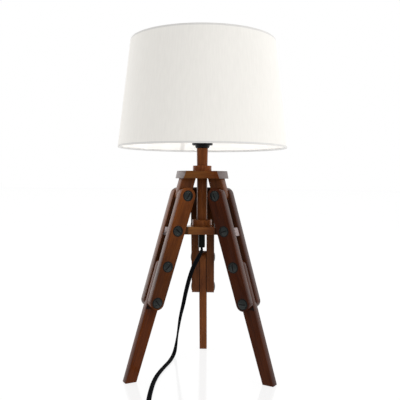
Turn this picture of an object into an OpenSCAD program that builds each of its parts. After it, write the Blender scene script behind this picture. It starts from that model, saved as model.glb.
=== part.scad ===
// Tripod table lamp: a tapered drum shade on a three-legged wooden stand, with its lead and plug.
// Origin on the floor under the column, +Z up, the back leg towards +Y. Sizes in millimetres.

/* [Shade] */
// Diameter of the shade's lower rim
shade_bottom_d = 300; // [280:1:330]
// Diameter of the shade's upper rim
shade_top_d = 256; // [230:1:275]
// Height of the shade
shade_h = 187.8; // [175:0.1:215]
// Thickness of the shade's cloth
cloth_t = 0.8; // [0.6:0.1:1.4]
// Thickness of the stiff liner behind the cloth
liner_t = 0.5; // [0.4:0.1:1]
// Diameter of the shade's rim wires and arms
wire_d = 3.2; // [2.5:0.1:4]
// Height of the fitter ring over the lower rim
fitter_rise = 32; // [26:1:40]

/* [Tripod] */
// Distance from the column's axis to the middle of each foot
stance_r = 137; // [130:0.5:150]
// Angle of each leg from upright, in degrees
leg_splay = 17.27; // [16:0.01:19]
// Distance between neighbouring bolts, measured along a leg
bolt_pitch = 63.3; // [60:0.1:68]
// Height of the hub's bolts over the floor
hub_bolt_h = 255.4; // [246:0.2:262]
// Thickness of every leg board
board_t = 14.4; // [12:0.1:17]
// Width of a side plate at its upper bolt
plate_top_w = 28.5; // [26:0.1:31]
// Width of a side plate at its lowest bolt
plate_low_w = 24.5; // [22:0.1:27]
// Width of a lower leg at its upper bolt
leg_top_w = 23.6; // [20:0.1:25]
// Width of a lower leg at the floor
leg_foot_w = 19; // [15:0.1:21]
// Width of the tongues under the head plate
tongue_w = 25; // [20:0.1:27]

/* [Head and hub] */
// Thickness of the head plate
head_t = 13.4; // [11:0.1:17]
// Width of the head plate's three blunt corners on its underside
head_corner_w = 31.6; // [28:0.1:36]
// How far those corners stand out past the tongues
head_overhang = 2.8; // [1:0.1:4]
// Height from a leg's upper bolt to the head plate's underside
head_rise = 30.2; // [28:0.1:36]
// Thickness of the hub and its arms
hub_t = 13.6; // [13:0.1:16]
// Height from the hub's underside to its bolts
hub_drop = 7.8; // [6.5:0.1:8]
// Width of the hub's three blunt corners
hub_corner_w = 17.6; // [16:0.1:24]
// Distance from the column's axis to those corners
hub_corner_r = 33.2; // [29:0.1:36]
// How far an arm's end lies inside the side plates' outer edge
arm_recess = 2; // [1:0.1:4]

/* [Column and neck] */
// Diameter of the column between hub and head plate
column_d = 18.6; // [16:0.1:21]
// Diameter of the collar on the head plate
head_collar_d = 33.4; // [28:0.1:36]
// Height of the collar on the head plate
head_collar_h = 9.6; // [8:0.1:13]
// Diameter of the collar on the hub
hub_collar_d = 35.2; // [28:0.1:37]
// Height of the collar on the hub
hub_collar_h = 11.6; // [9:0.1:15]
// Diameter of the neck at its foot
neck_low_d = 19; // [16:0.1:20]
// Diameter of the neck at the lampholder
neck_top_d = 20; // [18:0.1:22]
// Height of the neck
neck_h = 31; // [26:0.5:38]

/* [Bolts and tube] */
// Diameter of the bolt heads
bolt_head_d = 16; // [14:0.1:18]
// Height of the bolt heads
bolt_head_h = 2.2; // [1.6:0.1:3]
// Diameter of the cap nuts' barrels
barrel_d = 8.6; // [8:0.1:10]
// Diameter of the bolts' shanks
shank_d = 6; // [5:0.1:6.5]
// Diameter of the threaded tube through the column
tube_d = 10; // [9.5:0.1:10.5]
// Bore of the threaded tube
tube_bore_d = 7.8; // [7.7:0.1:8]

/* [Lampholder and bulb] */
// Diameter of the lampholder's base
holder_d = 36.8; // [35:0.1:40]
// Diameter of the lampholder's threaded skirt
skirt_d = 39.2; // [38.4:0.1:41]
// Height of the lampholder
holder_h = 62; // [58:0.5:68]
// Outer diameter of the shade ring nut
ring_nut_d = 50; // [47:0.5:52]
// Diameter of the bulb's screw cap
bulb_cap_d = 26.4; // [26:0.1:26.6]
// Diameter of the bulb
bulb_d = 60; // [50:1:66]
// Length of the bulb's glass
bulb_glass_h = 82; // [70:1:90]

/* [Lead] */
// Width of the flat two-core lead
cord_w = 7.2; // [6:0.1:7.4]
// Thickness of the flat two-core lead
cord_t = 3.8; // [3.4:0.1:4]
// Diameter of the gland under the hub
gland_d = 12; // [11.4:0.1:14]
// Length of the gland under the hub
gland_h = 25; // [20:0.5:30]
// Radius of the coil's outer turn
coil_out_r = 38.5; // [37:0.5:42]
// Turns of each layer of the coil
layer_turns = 2.5; // [1.5:1:3.5]

/* [Switch and plug] */
// Length of the switch on the lead
switch_l = 66; // [60:1:74]
// Width of the switch
switch_w = 28; // [25:0.5:32]
// Height of the switch's lower half
switch_base_h = 7.5; // [6.5:0.5:9]
// Height of the switch's upper half
switch_cover_h = 8; // [7:0.5:10]
// Angle through which the rocker tips, in degrees
rocker_throw = 14; // [10:1:16]
// Length of the plug's body
plug_l = 38; // [34:1:44]
// Width of the plug at its pins
plug_w = 35; // [32:0.5:38]
// Thickness of the plug
plug_t = 14; // [12:0.5:16]
// Diameter of the plug's pins
pin_d = 4; // [3.9:0.1:4.8]
// Distance between the plug's pins
pin_gap = 18.6; // [17:0.1:19.5]
// Length of the plug's pins
pin_l = 19; // [17:0.5:21]

/* [Hidden] */
$fn = 72;
LEGS = [["back", 90], ["left", 210], ["right", 330]];

// Clearances
fit_gap = 0.1; // between a hole and what is fixed in it
turn_gap = 0.08; // between a bore and what turns in it
seat_gap = 0.3; // under a piece that lifts or turns off its seat
eps = 0.01;

// A leg's line, in its own upright plane: x runs outwards from the column, y is the height
down = [sin(leg_splay), -cos(leg_splay)];
out = [cos(leg_splay), sin(leg_splay)];
hub_bolt = [stance_r - hub_bolt_h * tan(leg_splay), hub_bolt_h];
bolts = [for (k = [-1:2]) hub_bolt + k * bolt_pitch * down];
foot = [stance_r, 0];
stack_t = 3 * board_t;
hole_r = barrel_d / 2 + fit_gap;

// Heights
hub_z = hub_bolt_h - hub_drop;
column_z = hub_z + hub_t;
head_z = bolts[0].y + head_rise;
head_collar_z = head_z + head_t;
neck_z = head_collar_z + head_collar_h;
holder_z = neck_z + neck_h;
flange_z = holder_z + 30;
flange_t = 2;
fitter_z = flange_z + flange_t;
fitter_t = 1.6;
shade_z = fitter_z - fitter_rise;
gland_z = hub_z - gland_h;

// Radii
tube_r = tube_d / 2;
tongue_top = bolts[0] - head_rise / out.x * down;
tongue_half = tongue_w / 2 / out.x;
head_corner_r = tongue_top.x + tongue_half + head_overhang;
skirt_r = skirt_d / 2;
flange_r = skirt_r + 4.2;
base_r = holder_d / 2;
base_wall = 1.8;
insert_r = 17.4;
cap_r = bulb_cap_d / 2;
shell_r = cap_r + seat_gap;
shell_t = 0.4;
fitter_in_r = skirt_r + 0.6;
fitter_out_r = ring_nut_d / 2 + 2;
wire_r = wire_d / 2;

// Heights inside the lampholder
base_floor = 4;
base_h = 22;
insert_foot = 10;
socket_z = holder_z + 31;
contact_t = 1.2;
tip_z = socket_z + contact_t + seat_gap;
tip_h = 2;
cone_h = 2.6;
cap_h = 23;
glass_z = tip_z + tip_h + cone_h + cap_h;

// The shade's outer radius at a height
shade_slope = (shade_bottom_d - shade_top_d) / 2 / shade_h;
function shade_r(z) = shade_bottom_d / 2 - (z - shade_z) * shade_slope;
function rim_wire_r(z) = shade_r(z) - cloth_t - liner_t - wire_r * (1 + shade_slope) - fit_gap;
rim_inset = wire_r + 0.6;
low_wire_z = shade_z + rim_inset;
top_wire_z = shade_z + shade_h - rim_inset;

gland_turn = -78; // the lead shows its narrow side where it leaves the gland

// The lead: each point of the route is x, y, z and the heading of the lead's flat side, in degrees
cord_route = [[0, 0, gland_z, gland_turn], [0, 0, gland_z - 3, gland_turn],
    [0, 0, gland_z - 6, -70], [-4, 7, 207, -52], [-10, 18, 195, -28], [-17, 30, 180, -10],
    [-24, 42, 159, 0], [-31, 54, 132, 8], [-37, 65, 104, 28],
    [-43, 75, 78, 55], [-47, 82, 54, 80], [-50, 87, 34, 98], [-52, 87, 20, 118],
    [-54, 81, 9, 145], [-56, 70, 3.6, 165], [-58, 56, 2, 180], [-61, 34, 2, 180],
    [-66, 10, 2, 180], [-71, -16, 2, 180], [-75, -44, 2, 180], [-77, -76, 2, 180],
    [-77, -106, 2, 182], [-76, -136, 2, 184], [-74, -160, 2, 190], [-68, -181, 2, 205],
    [-57, -197, 2, 228], [-43, -207, 3.6, 252], [-34, -210.4, 6, 264], [-28, -211, 7.3, 270],
    [-24, -211, 7.5, 270], [-19, -211, 7.5, 270]];
cord_end = cord_route[len(cord_route) - 1];
cord_grip = 3; // how far the lead reaches into the switch
route_steps = 2;

// The coil lies beyond the switch, its flat side upright
coil_pitch = cord_t + 0.6;
coil_step = cord_w + 0.6;
coil_turns = 2 * layer_turns + 0.5;
coil_in_r = coil_out_r - layer_turns * coil_pitch;
coil_dip = 2.6;
lead_l = 40;
switch_at = [cord_end.x - cord_grip + switch_l / 2, cord_end.y];
coil_at = [cord_end.x + switch_l - 2 * cord_grip + lead_l, cord_end.y - coil_out_r];
coil_z = cord_w / 2;
tie_w = 5;
tie_t = 1;
tie_gap = 0.55;
plug_relief_l = 22;
tail_l = 34;
plug_x = coil_at.x - tail_l;
plug_y = coil_at.y - coil_out_r;
plug_z = plug_t / 2;

// Shared shapes

module at_leg(name) {
    for (leg = LEGS)
        if (leg[0] == name)
            rotate([0, 0, leg[1]])
                children();
}

module all_legs() {
    for (leg = LEGS)
        rotate([0, 0, leg[1]])
            children();
}

// A flat board from an outline in the leg's upright plane, offset sideways
module board(side = 0, thick = board_t) {
    translate([0, side + thick / 2, 0])
        rotate([90, 0, 0])
            linear_extrude(thick)
                children();
}

// A board with round ends of two radii
module tapered_board(a, ra, b, rb, side = 0) {
    along = (b - a) / norm(b - a);
    across = [-along.y, along.x];
    union() {
        board(side) {
            translate(a)
                circle(ra);
            polygon([a + ra * across, b + rb * across, b - rb * across, a - ra * across]);
        }
        board(side)
            translate(b)
                circle(rb);
    }
}

module bolt_holes(list, length = 2 * stack_t) {
    for (b = list)
        translate([b.x, length / 2, b.y])
            rotate([90, 0, 0])
                cylinder(h = length, r = hole_r);
}

// A triangle with three blunt corners that point at the legs
function blunt_triangle(corner_r, corner_w) = [for (leg = LEGS, s = [-1, 1])
    [corner_r * cos(leg[1]) - s * corner_w / 2 * sin(leg[1]),
    corner_r * sin(leg[1]) + s * corner_w / 2 * cos(leg[1])]];

// What lies outside a sloping line through a point of the leg's plane
module beyond(point) {
    translate([point.x, 0, point.y])
        rotate([0, -leg_splay, 0])
            translate([0, -stance_r, -2 * stance_r])
                cube([2 * stance_r, 2 * stance_r, 4 * stance_r]);
}

module tube(r_out, r_in, h, z = 0) {
    translate([0, 0, z])
        difference() {
            cylinder(h = h, r = r_out);
            translate([0, 0, -1])
                cylinder(h = h + 2, r = r_in);
        }
}

// Head, hub and column

module head_plate() {
    color("#6b4527")
        difference() {
            translate([0, 0, head_z])
                linear_extrude(head_t)
                    polygon(blunt_triangle(head_corner_r, head_corner_w));
            all_legs()
                beyond([head_corner_r, head_z]);
            translate([0, 0, head_z - 1])
                cylinder(h = head_t + 2, r = tube_r + fit_gap);
        }
}

module head_collar() {
    edge = 0.8;
    color("#5c3520")
        translate([0, 0, head_collar_z])
            rotate_extrude()
                polygon([[tube_r + fit_gap, 0], [head_collar_d / 2, 0],
                    [head_collar_d / 2, head_collar_h - edge],
                    [head_collar_d / 2 - edge, head_collar_h], [tube_r + fit_gap, head_collar_h]]);
}

module tongue() {
    color("#5a3423")
        difference() {
            board()
                union() {
                    translate(bolts[0])
                        circle(tongue_w / 2);
                    polygon([bolts[0] + tongue_w / 2 * out, tongue_top + [tongue_half, 0],
                        tongue_top - [tongue_half, 0], bolts[0] - tongue_w / 2 * out]);
                }
            bolt_holes([bolts[0]]);
        }
}

module hub() {
    arm_end = hub_bolt.x + (plate_top_w / 2 - arm_recess) / out.x;
    pocket_r = 11;
    color("#65432a")
        difference() {
            translate([0, 0, hub_z])
                linear_extrude(hub_t)
                    polygon(blunt_triangle(hub_corner_r, hub_corner_w));
            translate([0, 0, hub_z - 1])
                cylinder(h = hub_t + 2, r = tube_r + fit_gap);
            translate([0, 0, hub_z - 1])
                cylinder(h = hub_pocket_h + 1, r = pocket_r);
        }
    color("#65432a")
        all_legs()
            difference() {
                translate([hub_corner_r - eps, -board_t / 2, hub_z])
                    cube([arm_end, board_t, hub_t]);
                beyond([arm_end, hub_bolt_h]);
                bolt_holes([hub_bolt]);
            }
}

module hub_collar() {
    edge = 0.8;
    color("#5c3520")
        translate([0, 0, column_z])
            rotate_extrude()
                polygon([[column_d / 2 + fit_gap, 0], [hub_collar_d / 2, 0],
                    [hub_collar_d / 2, hub_collar_h - edge],
                    [hub_collar_d / 2 - edge, hub_collar_h], [column_d / 2 + fit_gap, hub_collar_h]]);
}

module column() {
    color("#5a3018")
        tube(column_d / 2, tube_r + fit_gap, head_z - column_z, column_z);
}

module neck() {
    color("#6e3c22")
        translate([0, 0, neck_z])
            rotate_extrude()
                polygon([[tube_r + fit_gap, 0], [neck_low_d / 2, 0], [neck_top_d / 2, neck_h],
                    [tube_r + fit_gap, neck_h]]);
}

// Legs

module outer_plate(side) {
    color("#5b331d")
        difference() {
            tapered_board(bolts[0], plate_top_w / 2, bolts[3], plate_low_w / 2, side * board_t);
            bolt_holes(bolts);
        }
}

module lower_leg() {
    half_foot = leg_foot_w / 2 / out.x;
    color("#52291a")
        difference() {
            board()
                union() {
                    translate(bolts[2])
                        circle(leg_top_w / 2);
                    polygon([bolts[2] + leg_top_w / 2 * out, bolts[2] - leg_top_w / 2 * out,
                        foot - [half_foot, 0], foot + [half_foot, 0]]);
                }
            bolt_holes([bolts[2], bolts[3]]);
        }
}

// A low domed head with a slot, its flat face on z = 0
module bolt_head() {
    brim = 0.7;
    slot_w = 1.8;
    slot_d = 1;
    r = bolt_head_d / 2;
    dome_h = bolt_head_h - brim;
    dome_r = (r * r + dome_h * dome_h) / 2 / dome_h;
    difference() {
        intersection() {
            cylinder(h = bolt_head_h, r = r);
            translate([0, 0, bolt_head_h - dome_r])
                sphere(r = dome_r, $fn = 288);
        }
        translate([-r - 1, -slot_w / 2, bolt_head_h - slot_d])
            cube([2 * r + 2, slot_w, bolt_head_h]);
    }
}

// Each bolt's slot stopped at an angle of its own
function slot_angle(leg, k) = (leg * 57 + k * 83) % 180;
barrel_l = stack_t / 2 + 4;
shank_l = stack_t - 9;

module at_bolts(turned) {
    for (leg = [0:2], k = [0:3])
        rotate([0, 0, LEGS[leg][1]])
            translate([bolts[k].x, 0, bolts[k].y])
                rotate([turned, 0, 0])
                    translate([0, 0, stack_t / 2])
                        rotate([0, 0, slot_angle(leg, k)])
                            children();
}

module connector_bolts() {
    color("#3c4441")
        at_bolts(90)
            union() {
                bolt_head();
                translate([0, 0, -shank_l])
                    cylinder(h = shank_l + eps, r = shank_d / 2);
            }
}

module cap_nuts() {
    color("#3c4441")
        at_bolts(-90)
            union() {
                bolt_head();
                translate([0, 0, -barrel_l])
                    difference() {
                        cylinder(h = barrel_l + eps, r = barrel_d / 2);
                        translate([0, 0, -1])
                            cylinder(h = barrel_l - 2, r = shank_d / 2 + fit_gap);
                    }
            }
}

// Tube, nut and gland

hub_washer_t = 1;
hub_nut_t = 3;
hub_pocket_h = hub_washer_t + hub_nut_t + 0.2;

module threaded_tube() {
    foot_z = gland_z + gland_h - 12;
    color("#8d8f92")
        tube(tube_r, tube_bore_d / 2, holder_z + base_floor + 3 - foot_z, foot_z);
}

module hub_washer() {
    color("#8d8f92")
        tube(tube_r + 4.6, tube_r + fit_gap, hub_washer_t, hub_z + hub_pocket_h - hub_washer_t);
}

module hub_nut() {
    nut_r = tube_r + 3.1;
    color("#8d8f92")
        translate([0, 0, hub_z + hub_pocket_h - hub_washer_t - hub_nut_t])
            difference() {
                cylinder(h = hub_nut_t, r = nut_r, $fn = 6);
                translate([0, 0, -1])
                    cylinder(h = hub_nut_t + 2, r = tube_r + fit_gap);
            }
}

// The lead's outline: wide along x, thin along y
module cord_outline(more = 0) {
    half = (cord_w - cord_t) / 2;
    for (s = [-1, 1])
        translate([s * half, 0])
            circle(cord_t / 2 + more);
    square([2 * half, cord_t + 2 * more], center = true);
}

module cord_gland() {
    grip_h = gland_h - 12;
    color("#151816")
        translate([0, 0, gland_z])
            difference() {
                rotate_extrude()
                    polygon([[0, 0], [gland_d / 2 - 0.6, 0], [gland_d / 2, 0.6],
                        [gland_d / 2, gland_h], [0, gland_h]]);
                translate([0, 0, -1])
                    linear_extrude(grip_h + 2)
                        rotate(gland_turn)
                            cord_outline(0.15);
                translate([0, 0, grip_h])
                    cylinder(h = gland_h, r = tube_r + 0.05);
            }
}

module inner_cord() {
    color("#101010")
        translate([0, 0, gland_z + seat_gap])
            linear_extrude(holder_z + insert_foot - 1 - gland_z - seat_gap)
                rotate(gland_turn)
                    cord_outline();
}

// Lampholder

module holder_base() {
    low_r = neck_top_d / 2;
    cup_top = 5;
    cup_r = 13.4;
    flange_low = 5.6;
    color("#141414")
        translate([0, 0, holder_z])
            rotate_extrude()
                polygon([[tube_r + fit_gap, 0], [low_r, 0], [cup_r - 1.4, 0.5], [cup_r, cup_top],
                    [base_r - 0.5, cup_top + 0.1], [base_r, flange_low], [base_r, base_h],
                    [base_r - base_wall, base_h], [base_r - base_wall, flange_low + base_wall],
                    [cup_r, flange_low + base_wall], [low_r, base_floor],
                    [tube_r + fit_gap, base_floor]]);
}

module holder_skirt() {
    ridge = 0.4;
    pitch = 2.5;
    top = holder_h;
    low = fitter_z - holder_z;
    turns = floor((top - low - 1) / pitch);
    color("#141414")
        translate([0, 0, holder_z])
            rotate_extrude()
                polygon(concat(
                    [[insert_r + fit_gap, base_h], [base_r, base_h], [base_r, flange_z - holder_z],
                        [flange_r, flange_z - holder_z], [flange_r, low], [skirt_r, low]],
                    [for (k = [0:turns - 1], s = [0, 1])
                        [skirt_r - s * ridge, low + 1 + (k + s / 2) * pitch]],
                    [[skirt_r, low + 1 + turns * pitch], [skirt_r, top], [insert_r + fit_gap, top]]));
}

module holder_insert() {
    collar_t = 3;
    foot_r = 14;
    socket_r = shell_r + shell_t + fit_gap;
    top = holder_h - 3;
    color("#e9e6dc")
        translate([0, 0, holder_z])
            rotate_extrude()
                polygon([[0, insert_foot], [foot_r, insert_foot], [foot_r, base_h],
                    [insert_r, base_h], [insert_r, base_h + collar_t],
                    [socket_r + 2, base_h + collar_t], [socket_r + 2, top], [socket_r, top],
                    [socket_r, socket_z - holder_z], [0, socket_z - holder_z]]);
}

module screw_shell() {
    color("#c9a24a")
        tube(shell_r + shell_t, shell_r, holder_h - 4 - (socket_z - holder_z), socket_z);
}

module centre_contact() {
    color("#c9a24a")
        translate([0, 0, socket_z])
            cylinder(h = contact_t, r = 4.5);
}

module shade_ring_nut() {
    height = 8;
    grips = 18;
    lip = 0.8;
    r = ring_nut_d / 2;
    color("#1a1a1a")
        translate([0, 0, fitter_z + fitter_t + seat_gap])
            difference() {
                rotate_extrude()
                    polygon([[skirt_r + turn_gap, 0], [r - lip, 0], [r, lip], [r, height - lip],
                        [r - lip, height], [skirt_r + turn_gap, height]]);
                for (k = [0:grips - 1])
                    rotate([0, 0, k * 360 / grips])
                        translate([r + 0.7, 0, -1])
                            cylinder(h = height + 2, r = 1.6, $fn = 24);
            }
}

// Bulb

module bulb_tip() {
    color("#8b8b8b")
        translate([0, 0, tip_z])
            cylinder(h = tip_h, r1 = 4, r2 = 5);
}

module bulb_cap() {
    pitch = 3.6;
    groove = 0.9;
    crests = floor((cap_h - 2) / pitch);
    color("#c4c6c8")
        translate([0, 0, tip_z + tip_h])
            rotate_extrude()
                polygon(concat([[0, 0], [6, 0], [cap_r - groove, cone_h]],
                    [for (k = [0:crests - 1], s = [0, 1])
                        [cap_r - (1 - s) * groove, cone_h + (k + (s + 1) / 2) * pitch]],
                    [[cap_r - groove, cone_h + cap_h - 1], [cap_r - groove, cone_h + cap_h],
                        [0, cone_h + cap_h]]));
}

// The glass swells from the cap along a smooth curve to a round crown
module bulb_glass() {
    neck_r = cap_r + 0.6;
    ball_r = bulb_d / 2;
    ball_z = bulb_glass_h - ball_r;
    swell = 16;
    color("#f6f4ec")
        translate([0, 0, glass_z])
            rotate_extrude()
                polygon(concat([[0, 0]],
                    [for (k = [0:swell])
                        [neck_r + (ball_r - neck_r) * (1 - cos(180 * k / swell)) / 2,
                        ball_z * k / swell]],
                    [for (a = [6:6:84]) [ball_r * cos(a), ball_z + ball_r * sin(a)]],
                    [[0, bulb_glass_h]]));
}

// Shade

// A thin sloping wall between two offsets inside the shade's outer face
module shade_wall(near, far, inset = 0) {
    low = shade_z + inset;
    high = shade_z + shade_h - inset;
    rotate_extrude($fn = 144)
        polygon([[shade_r(low) - far, low], [shade_r(low) - near, low],
            [shade_r(high) - near, high], [shade_r(high) - far, high]]);
}

module shade_cloth() {
    color("#ece7de")
        shade_wall(0, cloth_t);
}

module shade_liner() {
    color("#f6f1e4")
        shade_wall(cloth_t, cloth_t + liner_t, inset = 0.4);
}

module rim_wire(z) {
    rotate_extrude($fn = 144)
        translate([rim_wire_r(z), z])
            circle(wire_r, $fn = 24);
}

module shade_top_ring() {
    color("#f2f2ee")
        rim_wire(top_wire_z);
}

module shade_low_ring() {
    color("#f2f2ee")
        rim_wire(low_wire_z);
}

// The fitter ring and its three arms, which end against the lower rim wire
module shade_fitter() {
    start = [fitter_out_r - 1, fitter_z + fitter_t / 2];
    end = [rim_wire_r(low_wire_z), low_wire_z];
    reach = norm(end - start) - wire_r;
    fall = atan2(start.y - end.y, end.x - start.x);
    color("#f2f2ee") {
        tube(fitter_out_r, fitter_in_r, fitter_t, fitter_z);
        all_legs()
            translate([start.x, 0, start.y])
                rotate([0, 90 + fall, 0])
                    cylinder(h = reach, r = wire_r, $fn = 24);
    }
}

// Lead

// A smooth curve through a list of points: every number of a point is blended alike
function at_end(list, k) = list[max(0, min(len(list) - 1, k))];
function blend(a, b, c, d, t) = 0.5 * (2 * b + (c - a) * t + (2 * a - 5 * b + 4 * c - d) * t * t
    + (3 * b - a - 3 * c + d) * t * t * t);
function smooth(list, steps) = concat(
    [for (k = [0:len(list) - 2], s = [0:steps - 1])
        blend(at_end(list, k - 1), list[k], list[k + 1], at_end(list, k + 2), s / steps)],
    [list[len(list) - 1]]);

function unit(v) = v / norm(v);
function place(p) = [p[0], p[1], p[2]];
function heading(list, k) = unit(place(at_end(list, k + 1)) - place(at_end(list, k - 1)));
function square_to(v, t) = unit(v - (v * t) * t);

// A section: pairs of offsets along the wide side and the thin side
function section8() = [for (s = [[1, 0.24], [0.64, 1], [-0.64, 1], [-1, 0.24], [-1, -0.24],
    [-0.64, -1], [0.64, -1], [1, -0.24]]) [s.x * cord_w / 2, s.y * cord_t / 2]];
function section6() = [for (s = [[1, 0], [0.5, 1], [-0.5, 1], [-1, 0], [-0.5, -1], [0.5, -1]])
    [s.x * cord_w / 2, s.y * cord_t / 2]];

// A closed tube of one section along a list of points, with the wide side's direction at each
module swept(path, wides, section) {
    n = len(section);
    m = len(path);
    points = [for (k = [0:m - 1])
        let (t = heading(path, k), w = square_to(wides[k], t), v = cross(t, w))
            for (s = section) place(path[k]) + s.x * w + s.y * v];
    sides = [for (k = [0:m - 2], j = [0:n - 1], h = [0, 1])
        let (a = k * n + j, b = k * n + (j + 1) % n)
            h == 0 ? [a, a + n, b] : [b, a + n, b + n]];
    caps = [for (j = [1:n - 2], h = [0, 1])
        h == 0 ? [0, j, j + 1] : [(m - 1) * n, (m - 1) * n + j + 1, (m - 1) * n + j]];
    polyhedron(points, concat(sides, caps));
}

run_path = smooth(cord_route, route_steps);

module cord_run() {
    color("#0d0e10")
        swept(run_path, [for (p = run_path) [cos(p[3]), sin(p[3]), 0]], section8());
}

// From the switch to the coil the lead drops to the floor and turns onto its edge
lead_from = [cord_end.x + switch_l - 2 * cord_grip, cord_end.y, cord_end.z];
function ease(t) = t <= 0 ? 0 : t >= 1 ? 1 : t * t * (3 - 2 * t);
lead_rings = 9;
lead_path = [for (k = [0:lead_rings - 1])
    let (t = k / (lead_rings - 1))
        [lead_from.x + t * (lead_l - cord_w), lead_from.y,
        lead_from.z + ease((t - 0.15) / 0.7) * (coil_z - lead_from.z),
        90 * ease((t - 0.15) / 0.7)]];

module cord_lead() {
    color("#0d0e10")
        swept(lead_path, [for (p = lead_path) [0, cos(p[3]), sin(p[3])]], section8());
}

// The coil: in on the floor, up a layer over half a turn, then out again on top
function coil_r(u) = coil_in_r + coil_pitch * (u < layer_turns ? layer_turns - u
    : u > layer_turns + 0.5 ? u - layer_turns - 0.5 : 0)
    - coil_dip * pow(cos(min(90, abs(u - layer_turns - 0.25) * 90 / 0.35)), 2);
function coil_lift(u) = let (away = abs((u * 360 + 180) % 360 - 180 - 90) / 50)
    (tie_t + 0.2) * (away < 1 ? 1 - ease(away) : 0);
function coil_height(u) = coil_z + coil_step * ease((u - layer_turns - 0.1) / 0.3) + coil_lift(u);
function coil_point(u) = [coil_at.x + coil_r(u) * cos(90 - 360 * u),
    coil_at.y + coil_r(u) * sin(90 - 360 * u), coil_height(u)];
loop_rings = 24;
coil_spiral = [for (k = [0:coil_turns * loop_rings]) coil_point(k / loop_rings)];
tail_rings = 5;
coil_tail = [for (k = [1:tail_rings])
    [coil_at.x - tail_l * k / tail_rings, plug_y,
    coil_height(coil_turns)
        + ease(k / (tail_rings - 1)) * (plug_z - coil_height(coil_turns))]];
coil_path = concat([coil_point(0) - [cord_w, 0, 0]], coil_spiral, coil_tail);
coil_gap = min([for (k = [0:coil_turns * loop_rings - loop_rings],
        j = [k + loop_rings:loop_rings:coil_turns * loop_rings])
    max(abs(coil_r(k / loop_rings) - coil_r(j / loop_rings)) - cord_t,
    abs(coil_spiral[k].z - coil_spiral[j].z) - cord_w)]);
function lengths(list) = [for (k = [1:len(list) - 1]) norm(place(list[k]) - place(list[k - 1]))];
function total(list, k = 0) = k >= len(list) ? 0 : list[k] + total(list, k + 1);
cord_length = total(lengths(run_path)) + switch_l - 2 * cord_grip + total(lengths(lead_path))
    + total(lengths(coil_path));
echo(least_gap_of_the_coil = coil_gap, length_of_the_lead = cord_length);

module cord_coil() {
    color("#0d0e10")
        swept(coil_path, [for (p = coil_path) [0, 0, 1]], section6());
}

module coil_tie() {
    low = coil_r(coil_turns - 0.25 - floor(layer_turns)) - cord_t / 2 - tie_gap;
    high = coil_r(0.25) + cord_t / 2 + tie_gap;
    wide = high - low;
    tall = 2 * cord_w + 0.6 + 0.2 + tie_gap;
    color("#1c1c1e")
        translate([coil_at.x + low - tie_t, coil_at.y + tie_w / 2, 0])
            rotate([90, 0, 0])
                linear_extrude(tie_w)
                    difference() {
                        square([wide + 2 * tie_t, tall + 2 * tie_t]);
                        translate([tie_t, tie_t])
                            square([wide, tall]);
                    }
}

// Switch on the lead

switch_h = switch_base_h + switch_cover_h;
rocker_w = 10;
rocker_r = 9.5;
rocker_pivot_z = switch_base_h + 2.5;
switch_wall = 1.6;
window_gap = 0.4;

// The switch seen from above: a bar that narrows at both ends
module switch_outline(inset = 0) {
    half_l = switch_l / 2 - inset;
    half_w = switch_w / 2 - inset;
    end_w = half_w * 0.58;
    shoulder = half_l * 0.52;
    polygon([[-half_l, -end_w], [-shoulder, -half_w], [shoulder, -half_w], [half_l, -end_w],
        [half_l, end_w], [shoulder, half_w], [-shoulder, half_w], [-half_l, end_w]]);
}

module cord_slots() {
    for (s = [-1, 1])
        translate([s * switch_l / 2, 0, cord_end.z])
            rotate([90, 0, 90])
                linear_extrude(2 * cord_grip + 1, center = true)
                    cord_outline(fit_gap);
}

module in_switch() {
    translate([switch_at.x, switch_at.y, 0])
        children();
}

module switch_base() {
    color("#141516")
        in_switch()
            difference() {
                linear_extrude(switch_base_h)
                    switch_outline();
                translate([0, 0, switch_wall])
                    linear_extrude(switch_base_h)
                        switch_outline(switch_wall);
                cord_slots();
            }
}

module switch_cover() {
    step = 1.2;
    color("#141516")
        in_switch()
            difference() {
                union() {
                    translate([0, 0, switch_base_h])
                        linear_extrude(switch_cover_h - step)
                            switch_outline();
                    translate([0, 0, switch_h - step])
                        linear_extrude(step)
                            switch_outline(step);
                }
                translate([0, 0, switch_base_h - 1])
                    linear_extrude(switch_cover_h + 1 - switch_wall)
                        switch_outline(switch_wall);
                translate([-rocker_r - window_gap, -rocker_w / 2 - window_gap, switch_base_h])
                    cube([2 * (rocker_r + window_gap), rocker_w + 2 * window_gap,
                        switch_cover_h + 1]);
                cord_slots();
            }
    // two ears inside the cover carry the rocker's pin
    ear_t = 2;
    color("#141516")
        in_switch()
            for (s = [-1, 1])
                difference() {
                    translate([-3, s * (rocker_w / 2 + window_gap + ear_t / 2) - ear_t / 2,
                        rocker_pivot_z - 2.5])
                        cube([6, ear_t, switch_h - switch_wall - rocker_pivot_z + 2.5 + eps]);
                    translate([0, switch_w, rocker_pivot_z])
                        rotate([90, 0, 0])
                            cylinder(h = 2 * switch_w, r = switch_pin_r + 0.02, $fn = 24);
                }
}

switch_pin_r = 1;

module switch_pin() {
    length = rocker_w + 2 * window_gap + 4;
    color("#9a9c9e")
        in_switch()
            translate([0, length / 2, rocker_pivot_z])
                rotate([90, 0, 0])
                    cylinder(h = length, r = switch_pin_r, $fn = 24);
}

// The rocker is round about its pin, with a top of two flats; it rests with one flat level
module switch_rocker() {
    top = switch_h - rocker_pivot_z + 0.8;
    color("#202224")
        in_switch()
            translate([0, rocker_w / 2, rocker_pivot_z])
                rotate([90, 0, 0])
                    linear_extrude(rocker_w)
                        difference() {
                            circle(rocker_r);
                            for (turned = [0, rocker_throw])
                                rotate([0, 0, -turned])
                                    translate([-2 * rocker_r, top])
                                        square(4 * rocker_r);
                            translate([-2 * rocker_r, -4 * rocker_r - 2])
                                square(4 * rocker_r);
                            circle(switch_pin_r + turn_gap, $fn = 24);
                        }
}

// Plug

module in_plug() {
    translate([plug_x, plug_y, plug_z])
        rotate([0, 0, 180])
            children();
}

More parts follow.
